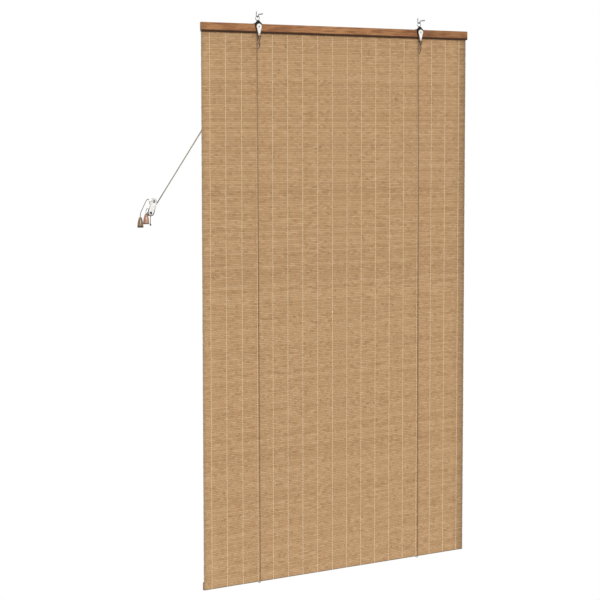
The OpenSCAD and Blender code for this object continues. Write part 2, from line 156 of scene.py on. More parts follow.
def mix_color(tree, share, a, b):
    node = put(tree, "ShaderNodeMix", {"data_type": "RGBA"}, Factor=share)
    for name, value in (("A", a), ("B", b)):
        linked = isinstance(value, bpy.types.NodeSocket)
        feed(tree, named(node.inputs, name), value if linked else (*value, 1))
    return named(node.outputs, "Result")


# Used for real marks and for painted shade alike
def stain_and_shade(tree, tint, share, amount, color):
    """A tint moved toward a colour, by the amount where the share is 1."""
    return mix_color(tree, times(tree, share, amount), tint, color)


def group(name, inputs, outputs):
    """An empty shader group with named inputs and outputs, and its input and output nodes."""
    tree = bpy.data.node_groups.new(name, "ShaderNodeTree")
    for label, kind, value in inputs:
        socket = tree.interface.new_socket(name=label, in_out="INPUT", socket_type=kind)
        if value is not None:
            socket.default_value = value
    for label, kind in outputs:
        tree.interface.new_socket(name=label, in_out="OUTPUT", socket_type=kind)
    return tree, tree.nodes.new("NodeGroupInput"), tree.nodes.new("NodeGroupOutput")


# Shared effect: long fibres along X, as a value from 0 to 1
fibre, gin, gout = group(
    "fibres",
    [("Vector", "NodeSocketVector", None), ("Along", "NodeSocketFloat", 12.0),
     ("Across", "NodeSocketFloat", 900.0)],
    [("Value", "NodeSocketFloat")])
split = put(fibre, "ShaderNodeSeparateXYZ", Vector=gin.outputs["Vector"])
stretched = put(
    fibre, "ShaderNodeCombineXYZ",
    X=times(fibre, split.outputs["X"], gin.outputs["Along"]),
    Y=times(fibre, split.outputs["Y"], gin.outputs["Across"]),
    Z=times(fibre, split.outputs["Z"], gin.outputs["Across"]))
streak = put(fibre, "ShaderNodeTexNoise", Vector=stretched.outputs[0], Scale=1.0, Detail=4.0, Roughness=0.6)
fibre.links.new(streak.outputs[0], gout.inputs["Value"])

# Shared effect: soft patches, as a value from 0 to 1
patches, gin, gout = group(
    "patches",
    [("Vector", "NodeSocketVector", None), ("Scale", "NodeSocketFloat", 60.0)],
    [("Value", "NodeSocketFloat")])
cloud = put(patches, "ShaderNodeTexNoise", Vector=gin.outputs["Vector"], Scale=gin.outputs["Scale"],
            Detail=5.0)
patches.links.new(cloud.outputs[0], gout.inputs["Value"])

# Shared effect: two sets of strands that cross round a cord, as a value from 0 to 1
braid, gin, gout = group(
    "braid",
    [("Vector", "NodeSocketVector", None), ("Strands", "NodeSocketFloat", 4.0),
     ("Pitch", "NodeSocketFloat", 240.0)],
    [("Value", "NodeSocketFloat")])
split = put(braid, "ShaderNodeSeparateXYZ", Vector=gin.outputs["Vector"])
turn = times(braid, split.outputs["X"], gin.outputs["Strands"])
rise = times(braid, split.outputs["Y"], gin.outputs["Pitch"])
strands = []
for sign in ("ADD", "SUBTRACT"):
    angle = times(braid, math_node(braid, sign, turn, rise), 2 * math.pi)
    strands.append(math_node(braid, "ABSOLUTE", math_node(braid, "SINE", angle)))
braid.links.new(math_node(braid, "MAXIMUM", strands[0], strands[1]), gout.inputs["Value"])


def use(tree, shared, **sockets):
    """The value of a shared effect."""
    node = put(tree, "ShaderNodeGroup", {"node_tree": shared})
    for key, value in sockets.items():
        feed(tree, node.inputs[key], value)
    return node.outputs["Value"]


# Material helpers
def material(name, **fixed):
    """A Principled material; its fixed values sit on the shader's own sockets."""
    mat = bpy.data.materials.new(name)
    mat.use_nodes = True
    tree = mat.node_tree
    shader = tree.nodes["Principled BSDF"]
    for key, value in fixed.items():
        shader.inputs[key.replace("_", " ")].default_value = value
    return mat, tree, shader


def place(tree, kind="Object"):
    return tree.nodes.new("ShaderNodeTexCoord").outputs[kind]


def axes(tree, spot):
    return put(tree, "ShaderNodeSeparateXYZ", Vector=spot).outputs


def color_by(tree, shader, tint):
    tree.links.new(tint, shader.inputs["Base Color"])


def bump(tree, shader, height, depth, strength):
    node = put(tree, "ShaderNodeBump", Strength=strength, Distance=depth, Height=height)
    tree.links.new(node.outputs[0], shader.inputs["Normal"])


def rough(tree, shader, value, span):
    """Roughness that follows a value over a span from its least to its most."""
    node = put(tree, "ShaderNodeMapRange", Value=value, To_Min=span[0], To_Max=span[1])
    tree.links.new(node.outputs[0], shader.inputs["Roughness"])


# Wood: grain along X; the numbers along and across are its density
# Painted shade along a lower edge: its colour, its share and the height over which it fades in
RIM_SHADE = (0.035, 0.011, 0.003)
RIM_SHADE_SHARE = 0.96
RIM_SHADE_FADE = 0.6 * MM
PORE_SHARE = 0.7


def wood(name, dark, mid, light, along, across, roughness, coat=0.0, edge=None):
    """Grained wood; edge is the height, in metres, below which painted shade darkens it."""
    mat, tree, shader = material(name, Coat_Weight=coat, Coat_Roughness=0.25, Specular_IOR_Level=0.25)
    spot = place(tree)
    fine = use(tree, fibre, Vector=spot, Along=along, Across=across)
    broad = use(tree, fibre, Vector=spot, Along=along / 4, Across=across / 7)
    cloudy = use(tree, patches, Vector=spot, Scale=9.0)
    tint = mix_color(tree, ramp(tree, broad, 0.34, 0.56), dark, mid)
    tint = mix_color(tree, ramp(tree, cloudy, 0.38, 0.7), tint, light)
    pores = mix_color(tree, PORE_SHARE, tint, dark)
    tint = mix_color(tree, ramp(tree, fine, 0.36, 0.56), pores, tint)
    # Painted shade below the edge height
    if edge is not None:
        above = ramp(tree, axes(tree, spot)["Z"], edge - RIM_SHADE_FADE, edge + RIM_SHADE_FADE)
        tint = stain_and_shade(tree, tint, inverse(tree, above), RIM_SHADE_SHARE, RIM_SHADE)
    color_by(tree, shader, tint)
    rough(tree, shader, fine, roughness)
    bump(tree, shader, fine, depth=0.00015, strength=0.5)
    return mat


def metal(name, color, wear_and_shade, roughness, grain, metallic=1.0):
    mat, tree, shader = material(name, Metallic=metallic)
    spot = place(tree)
    fine = use(tree, patches, Vector=spot, Scale=grain)
    cloudy = use(tree, patches, Vector=spot, Scale=grain / 9)
    color_by(tree, shader, mix_color(tree, ramp(tree, cloudy, 0.42, 0.68), color, wear_and_shade))
    rough(tree, shader, fine, roughness)
    bump(tree, shader, fine, depth=0.00003, strength=0.4)
    return mat


# Cleat: sizes of the painted dark reflection and shade round its edge and of the painted shade round its
# screw holes, in millimetres, from its middle
CLEAT_BRIGHT = (0.95, 0.94, 0.9)
CLEAT_DULL = (0.76, 0.75, 0.71)
CLEAT_EDGE_SHADE = (0.04, 0.036, 0.03)
CLEAT_HOLE_SHADE = (0.015, 0.014, 0.012)
EDGE_FROM = CLEAT_HALF_W - 3.2
EDGE_FULL = CLEAT_HALF_W - 2
EDGE_LEAST = 0.35
LOWER_FROM = 6
LOWER_FULL = -12
RING_FULL = 3.7
RING_TO = 4.3
RING_DEEP = 13


def cleat_material():
    """Polished metal, with painted dark reflection and shade round the edge of its foot, strongest toward its
    lower end, and painted shade in and round its screw holes.
    """
    mat, tree, shader = material("cleat_metal", Metallic=1.0)
    spot = place(tree)
    fine = use(tree, patches, Vector=spot, Scale=700.0)
    cloudy = use(tree, patches, Vector=spot, Scale=130.0)
    parts = axes(tree, spot)
    middle = at(CLEAT)
    lean = math.radians(CLEAT_LEAN)
    across = math_node(tree, "SUBTRACT", parts["X"], middle.x)
    up = math_node(tree, "SUBTRACT", parts["Z"], middle.z)
    along = math_node(tree, "ADD", times(tree, across, math.sin(lean)), times(tree, up, math.cos(lean)))
    aside = math_node(tree, "SUBTRACT", times(tree, across, math.cos(lean)), times(tree, up, math.sin(lean)))
    far = math_node(tree, "ABSOLUTE", along)

    def square(value):
        return math_node(tree, "POWER", math_node(tree, "ABSOLUTE", value), 2.0)

    def reach(offset):
        return math_node(tree, "SQRT", math_node(tree, "ADD", square(offset), square(aside)))

    past = math_node(tree, "MAXIMUM", math_node(tree, "SUBTRACT", far, CLEAT_STRAIGHT * MM))
    # Painted dark reflection and shade round the foot's edge, stronger toward the lower end
    edge = ramp(tree, reach(past), EDGE_FROM * MM, EDGE_FULL * MM)
    lower = math_node(tree, "MAXIMUM", ramp(tree, along, LOWER_FROM * MM, LOWER_FULL * MM), EDGE_LEAST)
    # Painted shade in and round the screw holes, on the foot only
    hole = reach(math_node(tree, "SUBTRACT", far, CLEAT_HOLE_AT * MM))
    ring = inverse(tree, ramp(tree, hole, RING_FULL * MM, RING_TO * MM))
    foot = math_node(tree, "LESS_THAN", parts["Y"], middle.y + RING_DEEP * MM)
    tint = mix_color(tree, ramp(tree, cloudy, 0.42, 0.66), CLEAT_BRIGHT, CLEAT_DULL)
    # Painted dark reflection and shade at the edge
    tint = stain_and_shade(tree, tint, edge, lower, CLEAT_EDGE_SHADE)
    # Painted shade at the screw holes
    tint = stain_and_shade(tree, tint, ring, foot, CLEAT_HOLE_SHADE)
    color_by(tree, shader, tint)
    rough(tree, shader, fine, (0.14, 0.34))
    bump(tree, shader, fine, depth=0.00003, strength=0.4)
    return mat


# Bamboo: colours of the slats and their marks, and the places of the ends and the hem line in millimetres
SLAT_DARK = (0.45, 0.281, 0.145)
SLAT_LIGHT = (0.525, 0.339, 0.184)
PALE_DASH = (0.64, 0.44, 0.26)
BROWN_DASH = (0.31, 0.175, 0.079)
KNUCKLE = (0.25, 0.13, 0.056)
WARM_PATCH = (0.56, 0.33, 0.165)
DARK_FIBRE = (0.31, 0.175, 0.08)
GREY_END = (0.3, 0.25, 0.17)
HEM_LINE = (0.13, 0.095, 0.055)
END_FROM = MAT_W / 2 - 9
END_FULL = MAT_W / 2 - 2
HEM_FULL = 1.5
HEM_TO = 3.5
LANE_SPREAD = 700.0


def bamboo_material():
    """Slats that differ by their stored tone, with dashes and knuckles along each of them."""
    mat, tree, shader = material("bamboo", Specular_IOR_Level=0.06)
    spot = place(tree)
    tone = put(tree, "ShaderNodeAttribute", {"attribute_name": "tone"}).outputs["Fac"]
    parts = axes(tree, spot)
    lane = times(tree, tone, LANE_SPREAD)
    fine = use(tree, fibre, Vector=spot, Along=9.0, Across=1500.0)
    cloudy = use(tree, patches, Vector=spot, Scale=3.5)

    def dashes(density, start, end):
        spread = put(tree, "ShaderNodeCombineXYZ", X=times(tree, parts["X"], density), Y=lane)
        noise = put(tree, "ShaderNodeTexNoise", Vector=spread.outputs[0], Scale=1.0, Detail=1.0)
        return ramp(tree, noise.outputs[0], start, end)

    tint = mix_color(tree, tone, SLAT_DARK, SLAT_LIGHT)
    tint = stain_and_shade(tree, tint, dashes(density=44.0, start=0.53, end=0.65), 0.4, PALE_DASH)
    tint = stain_and_shade(tree, tint, dashes(density=57.0, start=0.55, end=0.67), 0.42, BROWN_DASH)
    tint = stain_and_shade(tree, tint, dashes(density=95.0, start=0.7, end=0.76), 0.6, KNUCKLE)
    tint = stain_and_shade(tree, tint, ramp(tree, cloudy, 0.4, 0.7), 0.08, WARM_PATCH)
    tint = mix_color(tree, ramp(tree, fine, 0.28, 0.5), mix_color(tree, 0.3, tint, DARK_FIBRE), tint)
    ends = ramp(tree, math_node(tree, "ABSOLUTE", parts["X"]), END_FROM * MM, END_FULL * MM)
    tint = stain_and_shade(tree, tint, ends, 0.35, GREY_END)
    bottom = height_of(-DROP)
    hem = inverse(tree, ramp(tree, parts["Z"], bottom + HEM_FULL * MM, bottom + HEM_TO * MM))
    tint = stain_and_shade(tree, tint, hem, 0.8, HEM_LINE)
    color_by(tree, shader, tint)
    rough(tree, shader, fine, (0.6, 0.8))
    bump(tree, shader, fine, depth=0.0002, strength=0.5)
    return mat


# Thread: colours, with painted shade in the grooves of its twist, and the density of the twist
THREAD_DARK = (0.74, 0.513, 0.303)
THREAD_LIGHT = (0.92, 0.687, 0.442)
THREAD_GROOVE_SHADE = (0.4, 0.26, 0.14)
TWIST_ACROSS = 5200.0
TWIST_UP = 3800.0


def thread_material():
    mat, tree, shader = material("cotton_thread", Roughness=0.85, Sheen_Weight=0.2)
    spot = place(tree)
    parts = axes(tree, spot)
    lean = math_node(tree, "ADD", times(tree, parts["X"], TWIST_ACROSS), times(tree, parts["Z"], TWIST_UP))
    twist = math_node(tree, "SINE", lean)
    fuzz = use(tree, patches, Vector=spot, Scale=240.0)
    tint = mix_color(tree, fuzz, THREAD_DARK, THREAD_LIGHT)
    # Painted shade in the twist's grooves
    tint = mix_color(tree, ramp(tree, twist, -1.0, 0.2), mix_color(tree, 0.25, tint, THREAD_GROOVE_SHADE), tint)
    color_by(tree, shader, tint)
    bump(tree, shader, twist, depth=0.0001, strength=0.5)
    return mat


# Cords: heights, in millimetres, between which they darken, and the dark colours; at the hangers this is
# painted shade, and from above the cleat down the cord is simply darker
DARKEN_SHARE = 0.75
SHADE_AT_HANGERS = (-84, -60, (0.045, 0.022, 0.007))
AT_CLEAT = (-430, -490, (0.05, 0.044, 0.036))


def cord_material(name, dark, light, wear_and_shade):
    """Braided cord, with painted shade in the gaps of its braid; its last argument lists where it darkens:
    painted shade at the hangers, and plainly darker from above the cleat down.
    """
    mat, tree, shader = material(name, Roughness=0.8, Sheen_Weight=0.25)
    weave = use(tree, braid, Vector=place(tree, "UV"), Strands=2.0, Pitch=260.0)
    spot = place(tree)
    fuzz = use(tree, patches, Vector=spot, Scale=420.0)
    # The strands take the light colour and the gaps between them the dark one, as painted shade
    tint = mix_color(tree, ramp(tree, weave, 0.55, 1.0), dark, light)
    tint = stain_and_shade(tree, tint, fuzz, 0.35, dark)
    height = axes(tree, spot)["Z"]
    # Painted shade near the hangers, and a plain darkening from above the cleat down
    for plain_height, dark_height, dark_tint in wear_and_shade:
        share = ramp(tree, height, height_of(plain_height), height_of(dark_height))
        tint = stain_and_shade(tree, tint, share, DARKEN_SHARE, dark_tint)
    color_by(tree, shader, tint)
    bump(tree, shader, weave, depth=0.0002, strength=0.6)
    return mat


def plastic(name, dark, light, roughness):
    mat, tree, shader = material(name)
    fine = use(tree, patches, Vector=place(tree), Scale=900.0)
    color_by(tree, shader, mix_color(tree, fine, dark, light))
    rough(tree, shader, fine, roughness)
    bump(tree, shader, fine, depth=0.00004, strength=0.4)
    return mat


# Materials; the rims are the heights of the painted shade along the lower edges, in millimetres
RAIL_SHADE_RIM = 5.4
TASSEL_SHADE_RIMS = {"left": 5, "right": 2.6}


def tassel_shade_edge(side):
    return at(TASSEL_TOPS[side]).z - (TASSEL_H - TASSEL_SHADE_RIMS[side]) * MM


# Painted shade along the rail's lower edge
RAIL = wood("rail_wood", dark=(0.122, 0.045, 0.018), mid=(0.36, 0.15, 0.062), light=(0.47, 0.237, 0.1),
            along=24.0, across=400.0, roughness=(0.45, 0.65), edge=height_of(RAIL_SHADE_RIM - RAIL_H))
BATTEN = wood("batten_wood", dark=(0.23, 0.11, 0.045), mid=(0.38, 0.2, 0.09), light=(0.46, 0.27, 0.13),
              along=7.0, across=520.0, roughness=(0.45, 0.65))
# Painted shade along each tassel's lower rim
OLIVE = wood("tassel_wood_olive", dark=(0.1, 0.055, 0.024), mid=(0.25, 0.15, 0.07), light=(0.36, 0.24, 0.13),
             along=300.0, across=700.0, roughness=(0.25, 0.4), coat=0.5, edge=tassel_shade_edge("left"))
ROSE = wood("tassel_wood_rose", dark=(0.15, 0.065, 0.036), mid=(0.4, 0.2, 0.125), light=(0.6, 0.36, 0.26),
            along=300.0, across=700.0, roughness=(0.25, 0.4), coat=0.5, edge=tassel_shade_edge("right"))
TASSELS = {"left": OLIVE, "right": ROSE}
BAMBOO = bamboo_material()
THREAD = thread_material()
# Both cords get painted shade at the hangers; the pull cord is also darker from above the cleat down
LIFT = cord_material("lift_cord_braid", dark=(0.15, 0.08, 0.027), light=(0.35, 0.2, 0.08), wear_and_shade=[SHADE_AT_HANGERS])
PULL = cord_material("pull_cord_braid", dark=(0.17, 0.155, 0.115), light=(0.42, 0.395, 0.3),
                     wear_and_shade=[SHADE_AT_HANGERS, AT_CLEAT])
STEEL = metal("wire_steel", color=(0.33, 0.32, 0.31), wear_and_shade=(0.2, 0.19, 0.18), roughness=(0.22, 0.42),
              grain=1400.0)
TACK = metal("tack_steel", color=(0.34, 0.31, 0.27), wear_and_shade=(0.2, 0.17, 0.13), roughness=(0.35, 0.55),
             grain=1400.0)
CLEAT_METAL = cleat_material()
BRIGHT = metal("bright_metal", color=(0.97, 0.95, 0.91), wear_and_shade=(0.84, 0.82, 0.78), roughness=(0.1, 0.26),
               grain=900.0)
PLATE = metal("dark_plate", color=(0.01, 0.008, 0.006), wear_and_shade=(0.026, 0.02, 0.015), roughness=(0.42, 0.6),
              grain=1100.0, metallic=0.6)
RIVET = metal("rivet_metal", color=(0.3, 0.29, 0.28), wear_and_shade=(0.16, 0.15, 0.14), roughness=(0.25, 0.45),
              grain=1100.0)
BLACK = plastic("black_plastic", dark=(0.008, 0.008, 0.008), light=(0.02, 0.019, 0.018), roughness=(0.4, 0.6))
SHEAVE = plastic("sheave_plastic", dark=(0.05, 0.042, 0.036), light=(0.1, 0.085, 0.07), roughness=(0.4, 0.6))
BEAD = plastic("bead", dark=(0.6, 0.42, 0.32), light=(0.74, 0.56, 0.45), roughness=(0.35, 0.5))


# Mesh helpers
def mesh_object(name, points, faces, mat=None, uvs=None, smooth=True):
    mesh = bpy.data.meshes.new(name)
    mesh.from_pydata([tuple(p) for p in points], [], faces)
    if uvs is not None:
        layer = mesh.uv_layers.new(name="UVMap")
        layer.data.foreach_set("uv", np.array(uvs, np.float32).ravel())
    if mat is not None:
        mesh.materials.append(mat)
    mesh.polygons.foreach_set("use_smooth", [smooth] * len(mesh.polygons))
    mesh.validate()
    obj = bpy.data.objects.new(name, mesh)
    bpy.context.scene.collection.objects.link(obj)
    return obj


def walls(rings, sides):
    """Faces between rings of points that follow one another."""
    faces = []
    for i in range(rings - 1):
        for k in range(sides):
            n = (k + 1) % sides
            faces.append((i * sides + k, i * sides + n, (i + 1) * sides + n, (i + 1) * sides + k))
    return faces


def tube(path, radius, sides):
    """Points, faces and UVs of a round tube along a path; V is the distance in metres."""
    path = [Vector(p) for p in path]
    points, uvs = [], []
    side = Vector((0, 1, 0.1))
    run = [0.0]
    for a, b in zip(path, path[1:]):
        run.append(run[-1] + (b - a).length)
    for i, p in enumerate(path):
        ahead = path[min(i + 1, len(path) - 1)] - path[max(i - 1, 0)]
        ahead.normalize()
        side = (side - ahead * side.dot(ahead)).normalized()
        up = ahead.cross(side)
        for k in range(sides):
            a = 2 * math.pi * k / sides
            points.append(p + radius * (math.cos(a) * side + math.sin(a) * up))
    faces = walls(len(path), sides)
    for low, high in zip(run, run[1:]):
        for k in range(sides):
            uvs += [(k / sides, low), ((k + 1) / sides, low), ((k + 1) / sides, high), (k / sides, high)]
    for ring, rise in ((list(range(sides))[::-1], run[0]),
                       (list(range(len(points) - sides, len(points))), run[-1])):
        faces.append(tuple(ring))
        uvs += [(k / sides, rise) for k in range(sides)]
    return points, faces, uvs


def lathe(profile, centre, steps):
    """Points and faces of a closed outline of (radius, height) turned about a vertical axis."""
    points, faces = [], []
    count = len(profile)
    for k in range(steps):
        a = 2 * math.pi * k / steps
        for r, h in profile:
            points.append(at((centre[0] + r * math.cos(a), centre[1] + r * math.sin(a), centre[2] + h)))
    for k in range(steps):
        n = (k + 1) % steps
        for i in range(count):
            j = (i + 1) % count
            faces.append((k * count + i, n * count + i, n * count + j, k * count + j))
    return points, faces


def joined(parts):
    """Several lists of points, faces and UVs as one."""
    points, faces, uvs = [], [], []
    for part in parts:
        base = len(points)
        points += part[0]
        faces += [tuple(i + base for i in f) for f in part[1]]
        uvs += part[2]
    return points, faces, uvs


def stand_for(piece, node, body="frame"):
    """A piece that rides a body in place of a node of the frame."""
    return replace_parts(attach(piece, body), node)


# Cord routes: the source's points, rounded by smooth arcs between them
LONG_RUN = 60
STRAIGHT_END = 15
ARC_STEPS = 6
CORD_SIDES = 12


def smooth_route(route):
    points = []
    for a, b in zip(route, route[1:]):
        a, b = Vector(a), Vector(b)
        points.append(a)
        gap = b - a
        if gap.length > LONG_RUN:
            step = gap.normalized() * STRAIGHT_END
            points += [a + step, b - step]
    points.append(Vector(route[-1]))
    last = len(points) - 1
    heads = []
    for i in range(last + 1):
        before = (points[i] - points[i - 1]).normalized() if i else Vector()
        after = (points[i + 1] - points[i]).normalized() if i < last else Vector()
        heads.append((before + after).normalized())
    path = []
    for i in range(last):
        p, q = points[i], points[i + 1]
        reach = (q - p).length
        steps = ARC_STEPS if reach < LONG_RUN else 1
        for s in range(steps):
            t = s / steps
            path.append((2 * t ** 3 - 3 * t ** 2 + 1) * p + (t ** 3 - 2 * t ** 2 + t) * reach * heads[i]
                        + (3 * t ** 2 - 2 * t ** 3) * q + (t ** 3 - t ** 2) * reach * heads[i + 1])
    path.append(points[-1])
    return [at(p) for p in path]


def shifted(route, x):
    return [(p[0] + x, p[1], p[2]) for p in route]


def turned(centre, radius, turns, y):
    return [(centre[0] + radius * math.cos(math.radians(a)), y,
             centre[2] + radius * math.sin(math.radians(a))) for a in turns]


def cord_tube(path):
    return tube(path, CORD_D / 2 * MM, CORD_SIDES)


def corded(name, shape, mat, node):
    """A cord or knot, from its points, faces and UVs, in place of a node of the frame."""
    points, faces, uvs = shape
    return stand_for(mesh_object(name, points, faces, mat, uvs), node)


# Points of the routes; X is from the hanger's middle, and in RUNS and TAILS from the blind's middle
LIFT_ROUTE = [
    (0, -12.6, -38), (0, -12.6, -42), (2, -12, -49), (4.5, -10, -57), (5, -6, -65), (5, -1.5, -69.5),
    (5, 2.5, -71), (5, 5.5, -75), (5, 6, -81), (5, 10.5, -1590), (5, 10.3, -1598), (5, 8, -1602.5),
    (5, 3, -1603.5), (5, -2, -1602.5), (5, -5, -1598), (5, -5.2, -1590)]

# Number of the first points of LIFT_ROUTE that stay at the hanger
LIFT_FIXED = 9
LIFT_LOWEST = min(z for x, y, z in LIFT_ROUTE)

LIFT_WALL = [(-4.64, -12.04, -81), (-5, -12.3, -24), (-5, -12.3, -10)]
PULL_START = [(-5, -12.3, -10)]
PULL_DROP = [
    (5, -12.3, -12), (6, -12.2, -26), (6.5, -11.4, -36), (6.4, -8.4, -43), (6, -3, -45.7), (6, 2, -46)]
RUNS = {
    "left": [(-269.8, 6, -47.5), (-271.3, 9, -51.5), (-275, 10.3, -58.2)],
    "right": [(280.6, 6, -45.2), (279, 9.6, -41.5), (275, 11.6, -36), (266, 12.2, -28.5), (257, 12.2, -22.4),
              (250, 12.2, -20.8), (-250, 12.2, -20.8), (-254, 12.2, -23.6), (-258, 12.1, -30)]}

# Turns about the cleat's stem, in degrees, each with its depth
STEM_TURNS = {"left": ((-34, -63, -92, -121, -150, -180), 8.8), "right": ((-34, -59, -84, -109, -135), 11.3),
              "spare": ((170, 140, 110, 80, 50, 20, -10, -40), 13.6)}
TAILS = {
    "left": [(-606.6, 9.2, -502), (-606.2, 10, -494), (-607.2, 11, -488.6), (-610.2, 11.8, -486.8),
             (-613.8, 12.5, -489.8), (-618.2, 13, -498), (-624.6, 13.6, -511), (-629.8, 14, -521.5),
             (-631.8, 14, -529), TASSEL_TOPS["left"]],
    "right": [(-607.7, 11.9, -512.4), (-610.9, 12.9, -512.6), (-613.4, 13.6, -516), (-614.4, 14, -521.5),
              TASSEL_TOPS["right"]],
    "spare": [(-596.3, 13.6, -517.5), (-598.8, 13.6, -523), (-600.9, 13.5, -530), (-602, 13.3, -539),
              (-602.2, 13, -554)]}
SHEAVE_TURNS = (180, 135, 90, 45, 0)
KNOT_INSET = 0.3
TAIL_DROP = TASSEL_H - TASSEL_RECESS_H + KNOT_INSET

# Knots: radius and height of each kind, then the places and the winding, in millimetres
TASSEL_KNOT = (3.2, 6.5)
TAIL_KNOT = (2.6, 6)
BECKET_KNOT = (2.4, 5.2)
BECKET_KNOT_Y = -12.6
BECKET_KNOT_TOP = -32.8
KNOT_GAP = 0.1
CORE_INSET = 0.2
COIL_PITCH = 0.95 * CORD_D
COIL_STEPS = 20
COIL_SLACK = 0.97


def wrapped_knot(top, radius, height):
    """A cord wound round itself, hanging from a point."""
    coil = []
    thick = CORD_D / 2
    turns = (height - 2 * thick) / COIL_PITCH
    steps = int(turns * COIL_STEPS)
    for i in range(steps + 1):
        s = i / steps
        a = 2 * math.pi * turns * s
        coil.append(at((top[0] + (radius - thick) * math.cos(a), top[1] + (radius - thick) * math.sin(a),
                        top[2] - thick - (height - 2 * thick) * s)))
    core = [at((top[0], top[1], top[2] - CORE_INSET)), at((top[0], top[1], top[2] - height + CORE_INSET))]
    wound = tube(coil, thick * MM * COIL_SLACK, CORD_SIDES)
    return joined([wound, tube(core, (radius - thick) * MM, CORD_SIDES)])


# Tassels: turned bells with two grooves, a bore for the cord and a recess for the knot
BELL_STEPS = 60
BELL_SIDES = 48
BELL_LIP = 0.4
GROOVES = (0.14, 0.8)
GROOVE_DEPTH = 0.35
GROOVE_W = 0.018


def bell(s):
    """Radius of the bell at a share of its height."""
    r = TASSEL_TOP_R + (TASSEL_R - TASSEL_TOP_R) * max(0.0, math.cos(math.pi / 2 * s)) ** TASSEL_SWELL
    for groove in GROOVES:
        r -= GROOVE_DEPTH * math.exp(-((s - groove) / GROOVE_W) ** 2)
    return r


for side, top in TASSEL_TOPS.items():
    outline = [(bell(i / BELL_STEPS), i / BELL_STEPS * TASSEL_H) for i in range(BELL_STEPS + 1)]
    outline[0] = (outline[0][0] - BELL_LIP, 0)
    outline[1] = (outline[1][0], BELL_LIP)
    outline += [(TASSEL_BORE, TASSEL_H), (TASSEL_BORE, TASSEL_RECESS_H),
                (TASSEL_RECESS_R, TASSEL_RECESS_H), (TASSEL_RECESS_R, 0)]
    points, faces = lathe(outline[::-1], (top[0], top[1], top[2] - TASSEL_H), BELL_SIDES)
    piece = mesh_object("tassel_turned_" + side, points, faces, TASSELS[side])
    stand_for(piece, "tassel_" + side)

ends = {side: (top[0], top[1], top[2] - TAIL_DROP) for side, top in TASSEL_TOPS.items()}
knots = joined([wrapped_knot(p, *TASSEL_KNOT) for p in ends.values()])
tassel_knots = corded("tassel_knots_wound", knots, PULL, "tassel_knots")

# Pull cords: free cords from the sheaves to the tassels
for side, x in SIDES.items():
    turns, depth = STEM_TURNS[side]
    route = (shifted(PULL_START, x) + turned((x, 0, -AXLE_DROP), PITCH_R, SHEAVE_TURNS, CORD_Y)
             + shifted(PULL_DROP, x) + RUNS[side] + turned(CLEAT, WRAP_R, turns, depth)
             + TAILS[side] + [ends[side]])
    path = smooth_route(route)
    piece = corded("pull_cord_braided_" + side, cord_tube(path), PULL, "pull_cord_" + side)

# Spare tail: one turn over the cleat's stem, then down to its knot
turns, depth = STEM_TURNS["spare"]
path = smooth_route(turned(CLEAT, WRAP_R, turns, depth) + TAILS["spare"])
knot = wrapped_knot(Vector(TAILS["spare"][-1]) - Vector((0, 0, KNOT_GAP)), *TAIL_KNOT)
tail_knot = corded("tail_knot_wound", knot, PULL, "tail_knot")
piece = corded("spare_tail_braided", cord_tube(path), PULL, "spare_tail")

# Lift cords: the parts at the hanger and the long runs, each as a piece of its own on the frame
for side, x in SIDES.items():
    still = [cord_tube(smooth_route(shifted(route, x))) for route in (LIFT_ROUTE[:LIFT_FIXED], LIFT_WALL)]
    corded("lift_cord_top_" + side, joined(still), LIFT, "lift_cord_" + side)
    run = shifted(LIFT_ROUTE[LIFT_FIXED - 1:] + [LIFT_WALL[0]], x)
    piece = corded("lift_cord_braided_" + side, cord_tube(smooth_route(run)), LIFT, "lift_cord_" + side)
    top = at(run[0]).z
    low = height_of(LIFT_LOWEST)
    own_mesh(piece)

knots = joined([wrapped_knot((x, BECKET_KNOT_Y, BECKET_KNOT_TOP), *BECKET_KNOT) for x in SIDES.values()])
corded("becket_knots_wound", knots, LIFT, "becket_knots")

# Geometry Nodes: copies of one piece along a line, with small seeded differences between them
WAVE_DENSITY = 9.0
WAVE_SPREAD = 500.0


